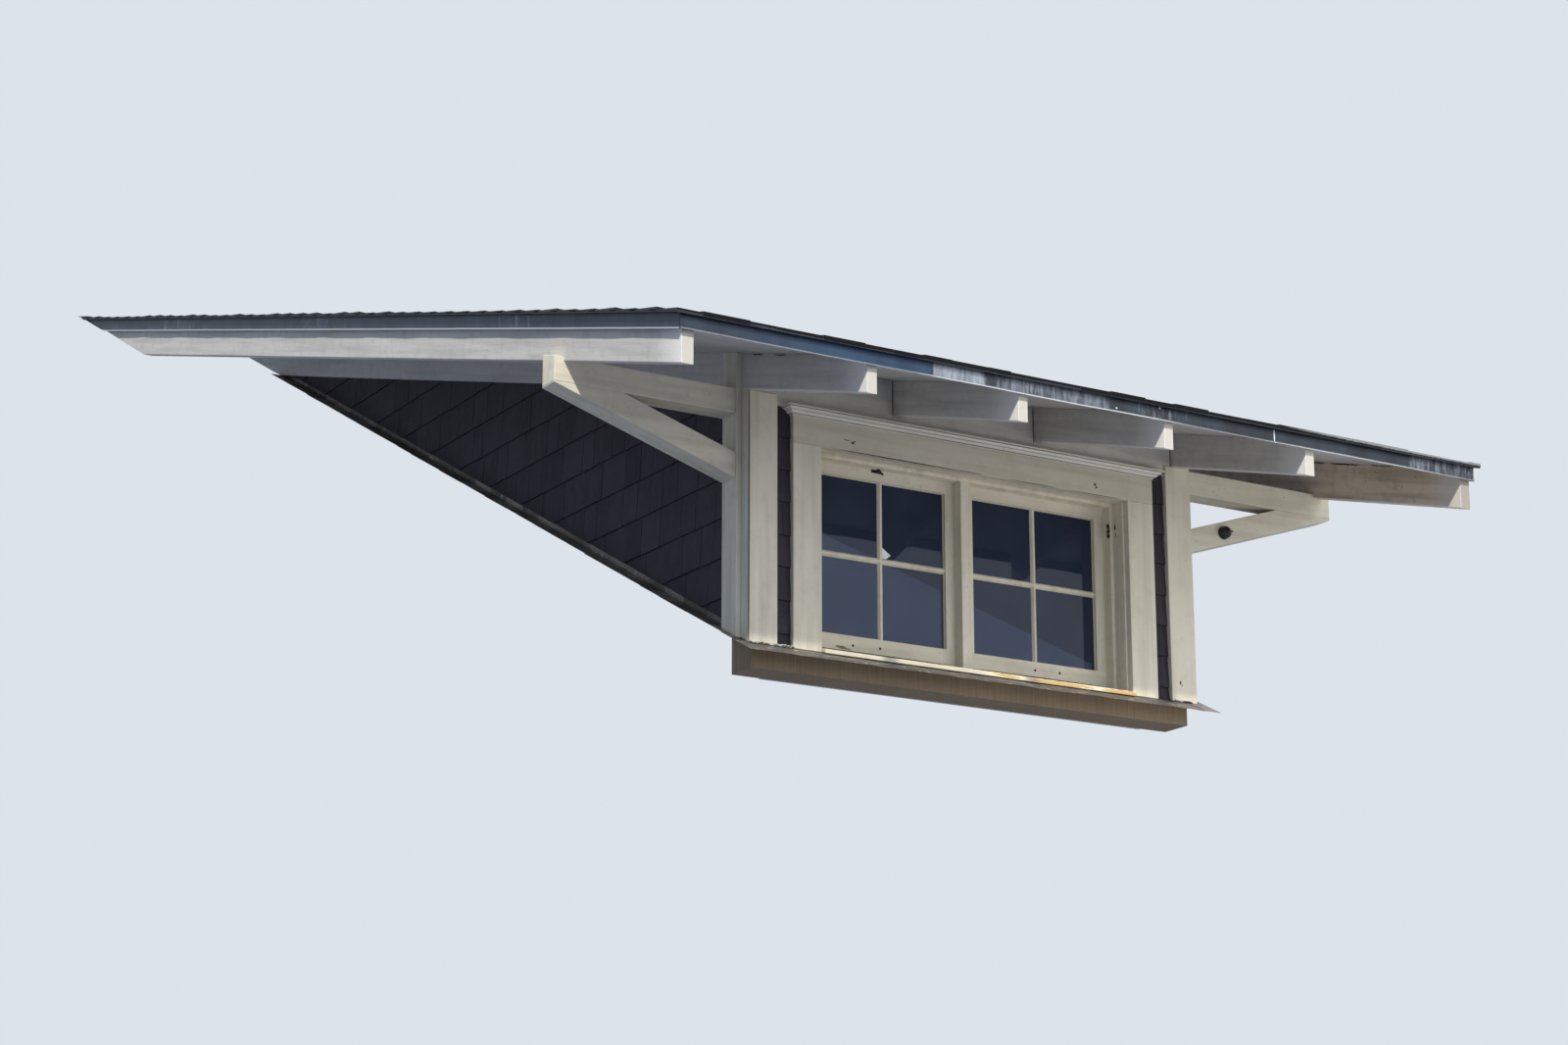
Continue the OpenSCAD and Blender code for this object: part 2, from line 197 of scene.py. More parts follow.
def addNode(tree, kind, settings=None):
    # a node with its settings: a property, or an input that takes a value or a link
    node = tree.nodes.new(kind)
    for key, value in (settings or {}).items():
        if isinstance(value, bpy.types.NodeSocket):
            tree.links.new(value, node.inputs[key])
        elif isinstance(key, int) or key in node.inputs:
            node.inputs[key].default_value = value
        else:
            setattr(node, key, value)
    return node


def newMaterial(name):
    # an empty material and the object coordinates, in metres, that place its patterns
    material = bpy.data.materials.new(name)
    material.use_nodes = True
    material.node_tree.nodes.clear()
    return material, addNode(material.node_tree, "ShaderNodeTexCoord").outputs["Object"]


def attribute(material, name):
    return addNode(material.node_tree, "ShaderNodeAttribute", {"attribute_name": name}).outputs["Fac"]


def maths(operation, *values, kind="ShaderNodeMath", result=0):
    # arithmetic on sockets and numbers, of which the first is a socket
    settings = {"operation": operation, **dict(enumerate(values))}
    return addNode(values[0].id_data, kind, settings).outputs[result]


def vectorMaths(operation, *values, result=0):
    return maths(operation, *values, kind="ShaderNodeVectorMath", result=result)


def ramp(value, start, stop, low=0.0, high=1.0):
    # low up to start, high from stop on, and straight between
    settings = {0: value, 1: start, 2: stop, 3: low, 4: high}
    return addNode(value.id_data, "ShaderNodeMapRange", settings).outputs[0]


def stretched(place, scale):
    return addNode(place.id_data, "ShaderNodeMapping", {"Vector": place, "Scale": scale}).outputs[0]


def noise(place, perMetre, detail=3.0, roughness=0.5):
    settings = {"Vector": place, "Scale": perMetre, "Detail": detail, "Roughness": roughness}
    return addNode(place.id_data, "ShaderNodeTexNoise", settings).outputs


def patches(place, perMetre, low, high, detail=3.0, roughness=0.5):
    # noise that is 0 below low and 1 above high; one patch is about 1 / perMetre metres wide
    return ramp(noise(place, perMetre, detail, roughness)[0], low, high)


def blend(amount, lower, upper):
    # lower where amount is 0 and upper where it is 1; each is a hex colour or a socket
    lower, upper = (linear(colour) if isinstance(colour, str) else colour for colour in (lower, upper))
    return addNode(amount.id_data, "ShaderNodeMix", {"data_type": "RGBA", 0: amount, 6: lower, 7: upper}).outputs[2]


def layered(colour, *layers):
    # thin layers over a colour: where each lies, how strong it is there, and its own colour
    for amount, strength, layerColour in layers:
        colour = blend(maths("MULTIPLY", amount, strength), colour, layerColour)
    return colour


def marks(place, spots, ragged):
    # 1 on each small worn spot: a point in millimetres and the spot's half size along x, y and z;
    # noise moves the spots' edges by up to half of ragged millimetres
    reach = ragged * 0.001
    shift = vectorMaths("MULTIPLY_ADD", noise(place, 70.0)["Color"], (reach,) * 3, (-reach / 2,) * 3)
    near = vectorMaths("ADD", place, shift)
    total = None
    for point, size in spots:
        away = vectorMaths("SUBTRACT", near, [v * 0.001 for v in point])
        away = vectorMaths("DIVIDE", away, [v * 0.001 for v in size])
        spot = ramp(vectorMaths("LENGTH", away, result="Value"), 1.1, 0.8)
        total = maths("MAXIMUM", spot, total) if total else spot
    return total


def finish(material, colour, roughness, height, distance, settings):
    # the surface shader, with height as relief of so many millimetres
    tree = material.node_tree
    if height:
        bump = addNode(tree, "ShaderNodeBump", {"Strength": 1.0, "Distance": distance * 0.001, "Height": height})
        settings = {**settings, "Normal": bump.outputs[0]}
    shader = addNode(tree, "ShaderNodeBsdfPrincipled", {"Base Color": colour, "Roughness": roughness, **settings})
    addNode(tree, "ShaderNodeOutputMaterial", {"Surface": shader.outputs[0]})
    return material


# Finishes


def housePaint(name, along, look):
    # Oil paint brushed on sawn pine: a chalky, uneven film that shows the boards' grain and holds dirt.
    # along is the direction of the grain: "x", "z" or "slope".
    material, place = newMaterial(name)
    tree = material.node_tree
    side, depth, height = addNode(tree, "ShaderNodeSeparateXYZ", {0: place}).outputs
    if along == "slope":
        # the grain and the marks of a rafter are placed by their height above the rafter's underside
        height = maths("MULTIPLY_ADD", depth, -planes["roofSlope"], height)
        place = addNode(tree, "ShaderNodeCombineXYZ", {0: side, 1: depth, 2: height}).outputs[0]
    stretch = {"x": (0.06, 1, 1), "z": (1, 1, 0.06), "slope": (1, 0.06, 1)}
    grainPlace = stretched(place, stretch[along])
    if "stiles" in look:
        # the grain stands upright within this half height of a middle height, and runs level in the rails beyond it
        within = maths("COMPARE", height, *look["stiles"])
        settings = {"data_type": "VECTOR", 0: within, 4: stretched(place, stretch["x"]), 5: grainPlace}
        grainPlace = addNode(tree, "ShaderNodeMix", settings).outputs[1]
    # grain lines are 1 to 2 mm wide on the real boards, and are drawn 5 mm wide so that they show
    grain = patches(grainPlace, 190, 0.3, 0.7, 4.0, 0.6)
    cloud = patches(place, 2.6, 0.3, 0.7, 4.0, 0.6)
    blotch = patches(place, 17, 0.5, 0.74, 4.0, 0.62)
    colour = layered(blend(cloud, look["base"], look["pale"]),
                     (patches(grainPlace, 28, 0.42, 0.7), look["streaks"], look["dirt"]),
                     (blotch, look["blotches"], look["dirt"]),
                     (patches(place, 95, 0.69, 0.74, 2.0), look["specks"], look["chip"]))
    if "washed" in look:
        # painted light: the paint turns lighter towards the eave, from one depth to another, standing in for sunlight
        # on the rafters' ends and light under the eave's edge; the end faces beyond take a colour of their own
        litColour, start, full, stop, endColour = look["washed"]
        colour = blend(ramp(depth, start, full), colour, litColour)
        colour = blend(ramp(depth, stop, stop + 0.0008), endColour, colour)
    for spots, markColour, ragged in look.get("marks", ()):
        colour = blend(marks(place, spots, ragged), colour, markColour)
    rough, relief = ramp(cloud, 0, 1, 0.5, 0.78), maths("MULTIPLY_ADD", grain, 0.55, blotch)
    return finish(material, colour, rough, relief, 0.5, {"IOR": 1.5, "Specular IOR Level": 0.35})


trimLook = {"base": "#DDD6BF", "pale": "#E6E0CE", "dirt": "#A89E85", "chip": "#64594A",
            "streaks": 0.32, "blotches": 0.2, "specks": 0.3}
# a greyer copy of the cream paint for the rafters, frieze and roof boards: partly dust and partly painted shade of
# the eave
rafterLook = {"base": "#CAC6BE", "pale": "#D6D2CA", "dirt": "#98948E", "chip": "#544E48",
              "streaks": 0.4, "blotches": 0.3, "specks": 0.3}
openJoints = [((-953, -150, 1124), (8, 40, 2.6)), ((-953, -300, 1123), (8, 46, 2.4)),
              ((1597, -70, 1125), (8, 50, 3)), ((1597, -230, 1125), (8, 90, 3.4)), ((1597, -430, 1126), (8, 70, 2.6))]
# painted highlights: light lines along the lower arrises of the rafters
arrisHighlights = [((x, -430, z), (4, 440, 4))
               for x, z in ((-953, 1000), (-357, 1000), (251, 1000), (874, 1000), (1597, 984.5))]
# the rafters' sides turn near white towards their ends: painted light
wallRafterLook = {**rafterLook, "washed": ("#F4F0E8", -0.68, -0.835, -0.8458, "#C9C4B9"),
                  "marks": [(openJoints, "#37322D", 8.0), (arrisHighlights, "#EAE6DC", 2.0)]}
# the right fly rafter: browned paint, a milder painted light near its end, and a darker end face that is painted
# shade
endRafterLook = {**wallRafterLook, "base": "#DACBB2", "pale": "#E4D9C6", "dirt": "#94806A", "chip": "#5B4936",
                 "streaks": 0.6, "blotches": 0.5, "specks": 0.7,
                 "washed": ("#DED8CB", -0.68, -0.835, -0.8458, "#9C968A")}
# the roof boards turn lighter towards the eave: painted light under the eave's edge
roofBoardLook = {**rafterLook, "washed": ("#F2EEE6", -0.42, -0.8, -0.9, "#F2EEE6")}
headChips = [((-533, -94, 842), (7, 9, 5)), ((-557, -94, 850), (14, 9, 2.2)), ((-526, -94, 850), (4, 9, 4)),
             ((513, -94, 849), (6, 9, 6)), ((519, -94, 839), (4, 9, 4))]
# painted shadow: thin dark lines along the head casing's lower edge
headEdgeShadows = [((-330, -94, 811.5), (300, 9, 1.5)), ((-40, -94, 812), (60, 9, 1.1)),
              ((240, -94, 811.5), (110, 9, 1.0)), ((520, -94, 811.5), (130, 9, 0.9))]
# the head casing's paint is darker than the other trim: painted shade under the eave
headLook = {**trimLook, "base": "#D1C9B3", "pale": "#DAD4C2",
            "marks": [(headChips, "#3F382E", 8.0), (headEdgeShadows, "#2E2922", 2.0)]}
# painted shade: black in small gaps above the crown, and dark upright lines in the corners where the rafters meet the
# frieze
friezeGapShadows = [((283, -86, 941), (34, 12, 4.5)), ((-330, -86, 939), (26, 12, 2.0)), ((848, -86, 942), (24, 12, 3.5))]
rafterRootShadows = [((x - 2.5, -86, 1040), (3, 12, 78)) for x in (-357, 251, 874)]
friezeLook = {**rafterLook, "marks": [(friezeGapShadows, "#15120F", 4.0), (rafterRootShadows, "#4B4744", 1.5)]}
# of the corner boards' marks, the long upright line at the left corner is painted shade in the groove between its
# boards
cornerLook = {**trimLook, "marks": [([((878, -94, 150), (5, 9, 8)), ((886, -94, 141), (3, 9, 4))], "#5B4632", 5.0),
                                    ([((908, -94, 80), (26, 20, 6))], "#3C2C20", 6.0),
                                    ([((-952, -93, 520), (3.5, 6, 560))], "#7B7567", 1.0)]}
# dark lines in the crown's quirks: part dirt held there and part painted shade
crownGrooveDirtAndShade = [((0, -105, 908.2 + share * 29), (1400, 60, 1.1)) for share in (0.17, 0.5, 0.79)]
crownLook = {**trimLook, "base": "#E9E5DA", "pale": "#EFECE4", "marks": [(crownGrooveDirtAndShade, "#8C846F", 0.5)]}
hingeStains = [((652, -20, 730), (5, 6, 20)), ((652, -24, 694), (5, 5, 10)), ((640, -4, 712), (5, 5, 24))]
frameLook = {**trimLook, "base": "#E6DDC4", "pale": "#EEE6D2", "marks": [(hingeStains, "#43362A", 9.0)]}
railDirt = [((-503, 39, 144), (22, 6, 5)), ((-486, 39, 139), (30, 6, 3))]
# painted shadow: dark lines along the foot of the bottom rails
railGapShadows = [((-330, 39, 131), (330, 6, 3.0)), ((330, 39, 131), (330, 6, 2.8))]
sashLook = {**trimLook, "stiles": (0.4761, 0.2871),
            "marks": [(railDirt, "#76735A", 8.0), (railGapShadows, "#3A342B", 2.5)]}
bareWood = [((330, -115, 79), (150, 20, 7)), ((610, -115, 78), (110, 20, 9)), ((90, -115, 80), (60, 20, 5))]
# the sill's paint is darker than the other trim as painted shade, and the broad pale patch on its right half is
# painted sunlight
sillLook = {**trimLook, "base": "#C4BCA6", "blotches": 0.35,
            "marks": [([((390, -115, 90), (420, 40, 30))], "#EADCBE", 20.0), (bareWood, "#C9A873", 14.0)]}
# the flake's near-white paint is partly chalk and partly a painted highlight of sun on it
flakeLook = {**trimLook, "base": "#F8F6F0", "pale": "#FCFBF8", "streaks": 0.1, "blotches": 0.1}
paintX = housePaint("creamPaintLevelBoards", "x", trimLook)
paintZ = housePaint("creamPaintUprightBoards", "z", trimLook)
paintHead = housePaint("creamPaintHeadCasing", "x", headLook)
paintFrieze = housePaint("creamPaintFrieze", "x", friezeLook)
paintCorner = housePaint("creamPaintCornerBoards", "z", cornerLook)
paintSash = housePaint("creamPaintSashes", "z", sashLook)
paintSill = housePaint("creamPaintSill", "x", sillLook)
paintCrown = housePaint("creamPaintCrown", "x", crownLook)
paintFrame = housePaint("creamPaintFrame", "z", frameLook)
paintChalkAndSun = housePaint("chalkySunlitPaintFlake", "x", flakeLook)
paintRafter = housePaint("dustAndShadePaintRafters", "slope", wallRafterLook)
paintEndRafter = housePaint("brownedPaintEndRafter", "slope", endRafterLook)
paintRoofBoards = housePaint("dustAndShadePaintRoofBoards", "x", roofBoardLook)


def stainedShingle():
    # Sawn cedar shingles under dark oil stain: dull, nearly black, each a little different, with upright grain;
    # a tone below 0 paints the underside of a butt near black, as painted shade
    material, place = newMaterial("stainedCedarShingle")
    tone = attribute(material, "tone")
    # sawn grain of 1 to 3 mm, drawn 6 mm wide
    grain = patches(stretched(place, (1, 1, 0.05)), 160, 0.3, 0.72, 4.0, 0.6)
    worn = patches(place, 9, 0.48, 0.75, 4.0, 0.6)
    colour = layered(blend(tone, "#2A2730", "#403A42"), (grain, 0.4, "#4A444A"), (worn, 0.35, "#544C50"))
    colour = blend(ramp(tone, -1.0, 0.0), "#0B0A0D", colour)
    return finish(material, colour, 0.86, grain, 0.8, {"IOR": 1.5, "Specular IOR Level": 0.3})


def asphaltShingle():
    # Asphalt felt faced with crushed slate: matt charcoal, gritty, with lighter and bluer tabs
    material, place = newMaterial("mineralAsphaltShingle")
    tone = attribute(material, "tone")
    grit = patches(place, 260, 0.35, 0.68, 2.0, 0.7)  # grit of 1 to 2 mm, drawn 4 mm wide
    cloud = patches(place, 3.1, 0.35, 0.7)
    colour = layered(blend(tone, "#262A30", "#3D434C"), (grit, 0.45, "#62676E"), (cloud, 0.3, "#4B4A48"))
    # a tone below 0 paints the butts near black: painted shade under them
    colour = blend(ramp(tone, -1.0, 0.0), "#0D0E11", colour)
    # the butts turn a lighter grey towards the right-hand end of the eave
    colour = blend(marks(place, [((1400, -879, 903.5), (620, 9, 7.5))], 7.0), colour, "#85888B")
    return finish(material, colour, 0.9, grit, 1.2, {"IOR": 1.5, "Specular IOR Level": 0.25})


def edgeMetal():
    # Galvanised sheet under worn slate-blue paint: a little shiny, with bright streaks that are part bare metal and
    # part painted highlight, and a bright folded hem
    material, place = newMaterial("paintedGalvanisedEdge")
    wear, hem, fresh = (attribute(material, name) for name in ("wear", "hem", "fresh"))
    runs = stretched(place, (1, 1, 0.18))
    bareAndGlint = ramp(maths("MULTIPLY_ADD", wear, 0.46, noise(runs, 42.0, 6.0, 0.75)[0]), 0.7, 1.0)
    dust = patches(runs, 9, 0.35, 0.7, 4.0)
    ribs = maths("MULTIPLY", patches(runs, 60, 0.45, 0.62, 2.0), 0.5)
    # where the blue is brighter at the left, it is a painted reflection of the sky
    colour = blend(fresh, blend(dust, "#1D242D", "#323B46"), blend(dust, "#1A3048", "#2B4764"))
    colour = blend(bareAndGlint, colour, blend(ribs, "#9298A3", "#5C6474"))
    # the hem's brightness along the eave is partly painted highlight and painted shade
    colour = blend(hem, colour, "#C9CCD0")
    laps = [((725, -865, 866), (3, 14, 30)), ((225, -865, 888), (4, 14, 5)), ((40, -865, 858), (5, 14, 3))]
    colour = blend(marks(place, laps, 1.0), colour, "#D0D4DA")
    return finish(material, colour, ramp(bareAndGlint, 0, 1, 0.5, 0.36), dust, 0.5, {"Metallic": 0.3})


def flashingMetal():
    # Old galvanised flashing: dull grey with tar, rust and pale oxide
    material, place = newMaterial("weatheredGalvanisedFlashing")
    cloud = patches(place, 8, 0.35, 0.65, 5.0, 0.65)
    rust = patches(place, 22, 0.55, 0.7, 4.0, 0.6)
    oxide = patches(place, 31, 0.6, 0.68, 4.0, 0.6)
    colour = blend(attribute(material, "tone"), blend(cloud, "#474543", "#6E6B66"), "#C2BFB8")
    colour = blend(oxide, layered(colour, (rust, 0.6, "#7D5B3A")), "#B5B0A4")
    return finish(material, colour, ramp(cloud, 0, 1, 0.6, 0.42), cloud, 1.0, {"Metallic": 0.4})


def windowGlass():
    # Old drawn glass: clear, faintly grey and slightly wavy, so that it reads dark with soft reflections; its dull
    # blue-grey colour is part dust film and part painted reflection of the sky
    material, place = newMaterial("oldDrawnGlass")
    filmAndSkySheen = patches(place, 6, 0.45, 0.75)
    colour = blend(filmAndSkySheen, "#404960", "#4A5269")
    return finish(material, colour, ramp(filmAndSkySheen, 0, 1, 0.015, 0.06), noise(place, 3.5, 1.0)[0], 1.5,
                  {"IOR": 1.3, "Transmission Weight": 0.65, "Specular Tint": linear("#DCE8F6")})


def lampPlastic():
    # Moulded black plastic: smooth and satin, a little dusty on top
    material, place = newMaterial("mouldedBlackPlastic")
    dust = patches(place, 60, 0.5, 0.8)
    return finish(material, blend(dust, "#17181A", "#2B2B2B"), 0.38, dust, 0.1, {"IOR": 1.46})


def rustedIron():
    # Old iron fittings with the paint worn off: near black, brown in places
    material, place = newMaterial("rustedIron")
    rust = patches(place, 160, 0.45, 0.7)
    return finish(material, blend(rust, "#1E1B18", "#4A3524"), 0.7, rust, 0.3, {"Metallic": 0.3})


def framingTimber():
    # Rough-sawn spruce: yellow-brown with darker growth lines
    material, place = newMaterial("sawnSpruceFraming")
    # growth rings of 2 to 4 mm, drawn 10 mm wide
    grain = patches(stretched(place, (1, 1, 0.05)), 90, 0.3, 0.7, 5.0, 0.6)
    colour = layered(blend(patches(place, 2.2, 0.3, 0.7), "#8F7F68", "#A39075"), (grain, 0.5, "#6B5A45"))
    return finish(material, colour, 0.8, grain, 0.6, {"IOR": 1.5, "Specular IOR Level": 0.3})


def wallBoard():
    # Painted plasterboard: flat off-white with the roller's fine stipple
    material, place = newMaterial("rolledWallPaint")
    stipple = patches(place, 240, 0.35, 0.65, 2.0)  # roller stipple of 2 mm, drawn 4 mm wide
    colour = blend(patches(place, 1.6, 0.3, 0.7), "#D2CFC6", "#DDDBD3")
    return finish(material, colour, 0.85, stipple, 0.2, {"IOR": 1.5, "Specular IOR Level": 0.3})


shingleStain = stainedShingle()
edgeSheet = edgeMetal()
flashingSheet = flashingMetal()
print("finishes made")

hiddenTimber = ("front_sole", "front_wall_left", "front_wall_right", "front_header", "cheek_left", "cheek_right",
                "cheek_sole_left", "cheek_sole_right")
linings = ("front_lining", "cheek_lining_left", "cheek_lining_right")
for material, nodeNames in ((framingTimber(), hiddenTimber), (windowGlass(), ("glass_left", "glass_right")),
                            (wallBoard(), linings)):
    for nodeName in nodeNames:
        nodes[nodeName].data.materials.clear()
        nodes[nodeName].data.materials.append(material)

# Timber with eased edges: a copy of each node, with the width of the easing in millimetres and the paint

timber = {
    "corner_boards_left": (2.5, paintCorner), "corner_boards_right": (2.5, paintCorner),
    "side_casings": (2.5, paintZ), "head_casing": (2.5, paintHead), "frieze_board": (1.5, paintFrieze),
    "window_sill": (3.0, paintSill), "window_frame": (1.5, paintFrame), "mullion": (2.0, paintZ),
    "sash_left": (2.5, paintSash), "sash_right": (2.5, paintSash),
    "wall_rafter_1": (2.5, paintRafter), "wall_rafter_2": (2.5, paintRafter),
    "wall_rafter_3": (2.5, paintRafter), "wall_rafter_4": (2.5, paintRafter),
    "fly_rafter_left": (2.5, paintRafter), "fly_rafter_right": (2.5, paintEndRafter),
    "bracket_leg_left": (2.0, paintZ), "bracket_arm_left": (3.0, paintX), "bracket_brace_left": (3.0, paintX),
    "bracket_leg_right": (2.0, paintZ), "bracket_arm_right": (3.0, paintX), "bracket_brace_right": (3.0, paintX),
}
for nodeName, (width, material) in timber.items():
    first, *rest = nodeName.split("_")
    pieceName = "centrePost" if nodeName == "mullion" else first + "".join(word.capitalize() for word in rest)
    easedCopy(pieceName, nodeName, width, material)
print("timber made")

# Roof boards: planks along the eave, with a V groove under each joint

roofBoardSizes = {"width": 134.4, "gap": 1.2, "groove": 4.0, "front": -856.0, "half": 1651.0, "endGap": 0.4,
                  "joints": (-934.0, -338.0, 270.0, 893.0)}


def roofBoards(sizes):
    # each plank is a six-sided outline in y and z, carried along x between two butt joints
    starts, ends, fronts = [], [], []
    for row in range(int((backAt(planes["boardLift"]) - sizes["front"]) / sizes["width"]) + 1):
        cut = sorted(dice.choice(sizes["joints"], size=1 + row % 2, replace=False).tolist())
        starts += [-sizes["half"], *cut]
        ends += [*cut, sizes["half"]]
        fronts += [sizes["front"] + row * sizes["width"]] * (len(cut) + 1)
    starts, ends, fronts = (np.array(a)[:, None] for a in (starts, ends, fronts))
    low, high, groove = planes["rafterLift"], planes["boardLift"], sizes["groove"]
    back = fronts + sizes["width"] - sizes["gap"]
    y = np.concatenate([fronts + groove, back - groove, back, back, fronts, fronts], axis=1)
    lift = np.broadcast_to([low, low, low + groove, high, high, low + groove], y.shape)
    y = np.minimum(y, backAt(lift) - np.array([0, 0.2, 0, 0, 0.3, 0.2]))
    return bars(y, underAt(y) + lift, starts + sizes["endGap"], ends - sizes["endGap"])


addPiece("roofBoards", roofBoards(roofBoardSizes), paintRoofBoards, "painted_rafter", ["roof_deck"])

# Roof shingles: a felt base under rows of tabs, each a wedge with its thick edge down the slope

roofShingleSizes = {"course": 139.2, "front": -879.0, "half": 1674.0, "base": 154.0, "tab": (88.0, 178.0),
                    "overlap": 46.0, "sideGap": 0.8, "thickShare": 0.45, "thick": (164.0, 165.4),
                    "thin": (160.6, 162.4), "stripStart": 4846.0, "stripLow": 161.6, "stripHigh": 165.4}


def roofShingles(sizes):
    # tab: from its butt, at the full layer's height, down to the base's height under the next course
    last, gap, half = backAt(sizes["base"]), sizes["sideGap"], sizes["half"]
    rows = []
    for row in range(int((last - sizes["front"]) / sizes["course"]) + 1):
        start = sizes["front"] + row * sizes["course"]
        edges = -half + np.concatenate([[0], np.cumsum(dice.uniform(*sizes["tab"], 40))])
        edges = np.append(edges[edges < half - 40], half)
        count = len(edges) - 1
        thick = dice.random(count) < sizes["thickShare"]
        rows.append(np.stack([
            edges[:-1] + gap, edges[1:] - gap,
            start + np.where(thick, dice.uniform(0, 2, count), dice.uniform(0, 5, count)),
            np.full(count, start + sizes["course"] + sizes["overlap"]),
            np.where(thick, dice.uniform(*sizes["thick"], count), dice.uniform(*sizes["thin"], count)),
            np.clip(dice.normal(0.45, 0.15, count) + np.where(thick, 0.08, -0.08), 0, 1)]))
    rows = np.concatenate(rows, axis=1)
    x0, x1, y0, y1, butt, tones = rows[:, rows[2] < last - 25]
    low, feather = (np.full_like(butt, sizes["base"] + step) for step in (-1.5, 0.6))
    y = np.stack([y0, y1, y1, y0], axis=1)
    lift = np.stack([low, low, feather, butt], axis=1)
    # a tab that the seat cuts ends there, at the height that its top has by then
    over = np.maximum(y - backAt(lift), 0)
    slope = ((butt - feather) / (y1 - y0))[:, None]
    lift = np.where((over > 0) & (np.arange(4) == 2), lift + slope * over, lift)
    y = np.minimum(y, backAt(lift))
    tabs = bars(y, underAt(y) + lift, x0[:, None], x1[:, None])
    side, front = half - 1.5, sizes["front"] + 4
    lift = np.array([[planes["boardLift"], planes["boardLift"], sizes["base"], sizes["base"]]])
    y = np.where([True, False, False, True], front, backAt(lift))
    base = bars(y, underAt(y) + lift, -side, side)
    # a felt strip seals the last course where the roof dies into the main one
    lift = np.array([[sizes["stripLow"], sizes["stripLow"], sizes["stripHigh"], sizes["stripHigh"]]])
    y = np.where([True, False, False, True], sizes["stripStart"], backAt(lift))
    strip = bars(y, underAt(y) + lift, -side, side)
    return gathered([base, strip, tabs]), np.concatenate([[0.1] * 6, faceTones([0.3], 3), faceTones(tones, 3)])


shape, tones = roofShingles(roofShingleSizes)
addPiece("roofShingles", shape, asphaltShingle(), "roof_shingle", ["roofing"], tone=tones)
print("roof made")

# Wall shingles

wallShingleSizes = {"thick": 13.0, "thin": 6.0, "joint": 2.4, "strip": (776.0, 839.0), "stripTop": 937.2,
                    "frontButts": (131.0, 247.0, 363.0, 478.0, 594.0, 709.0, 825.0),
                    "course": 143.0, "cheekFront": 60.0, "cheekFoot": 25.0, "width": (85.0, 190.0)}


def frontShingles(sizes):
    # beside the window: one or two tapered shingles a course between the casing and the corner board
    face, (inner, outer) = planes["frontFace"], sizes["strip"]
    x0, x1, y, z, tones = [], [], [], [], []
    for side in (-1, 1):
        butts = sizes["frontButts"] + dice.uniform(-2, 2, len(sizes["frontButts"]))
        edges = np.concatenate([[0.0], butts, [sizes["stripTop"]]])
        for low, high in zip(edges[:-1], edges[1:]):
            split = [inner, outer] if dice.random() < 0.6 else [inner, dice.uniform(795, 822), outer]
            for a, b in zip(split[:-1], split[1:]):
                out = sizes["thick"] - dice.uniform(0, 1.5)
                foot = [seatAt(face) + 3, seatAt(face - out) + 3] if low == 0 else [low, low]
                x0.append([side * (a + 0.6)])
                x1.append([side * (b - 0.6)])
                y.append([face, face - out, face - sizes["thin"], face])
                z.append([*foot, high, high])
                tones.append(np.clip(dice.normal(0.4, 0.22), 0, 1))
    return bars(y, z, x0, x1), faceTones(tones, 0)


def cheekShingles(side, sizes):
    # level courses on a side wall; each shingle's outline is cut to the seat below and the rafter line above
    topLift = planes["rafterLift"] if side > 0 else 0.0
    face, front, foot, gap = planes["sideFace"], sizes["cheekFront"], sizes["cheekFoot"], sizes["joint"] / 2
    last = backAt(topLift, foot)
    rings, tones = [], []
    low = seatAt(front) + foot - 40.0
    while low < underAt(last) + topLift:
        high = low + sizes["course"]
        crossings = [c for z in (low, high) for c in ((z - foot - planes["seatHeight"]) / planes["seatSlope"],
                                                      (z - topLift - planes["eaveHeight"]) / planes["roofSlope"])]
        joints = front + np.concatenate([[0], np.cumsum(dice.uniform(*sizes["width"], 70))])
        joints = np.append(joints[joints < last - 15], last)
        cuts = np.unique(np.concatenate([joints, [c for c in crossings if front < c < last]]))
        shingle = np.searchsorted(joints, cuts[:-1] + 0.01)
        shade = np.clip(dice.normal(0.4, 0.2, len(joints) + 1), 0, 1)
        butt = sizes["thick"] - dice.uniform(0, 2.0, len(joints) + 1)
        drop = dice.uniform(0, 3.0, len(joints) + 1)
        for a, b, which in zip(cuts[:-1], cuts[1:], shingle):
            y = np.array([a + (gap if a in joints else 0), b - (gap if b in joints else 0)])
            bottom = np.maximum(low - drop[which], seatAt(y) + foot)
            top = np.minimum(high, underAt(y) + topLift)
            if y[1] - y[0] < 1 or (top - bottom).max() < 6:
                continue
            top = np.maximum(top, bottom + 1.0)
            # the shingle's thickness shrinks evenly from its butt to its hidden top
            taper = (sizes["thin"] - butt[which]) / sizes["course"]
            outBottom = butt[which] + taper * np.clip(bottom - low, 0, sizes["course"])
            x = side * (face + np.stack([0 * y, outBottom, butt[which] + taper * (top - low), 0 * y], axis=1))
            z = np.stack([bottom, bottom, top, top], axis=1)
            rings.append(np.stack(np.broadcast_arrays(x, y[:, None], z), axis=2))
            tones.append(shade[which])
        low = high
    # the backing board behind the shingles is toned -0.6, painted darker as shade in the gaps between them
    backing = bars([[front, last, front]], [[seatAt(front) + foot, seatAt(last) + foot, underAt(front) + topLift]],
                   side * face, side * (face + 4.0))
    return (gathered([backing, prisms(*np.moveaxis(rings, 1, 0))]),
            np.concatenate([np.full(5, -0.6), faceTones(tones, 0)]))


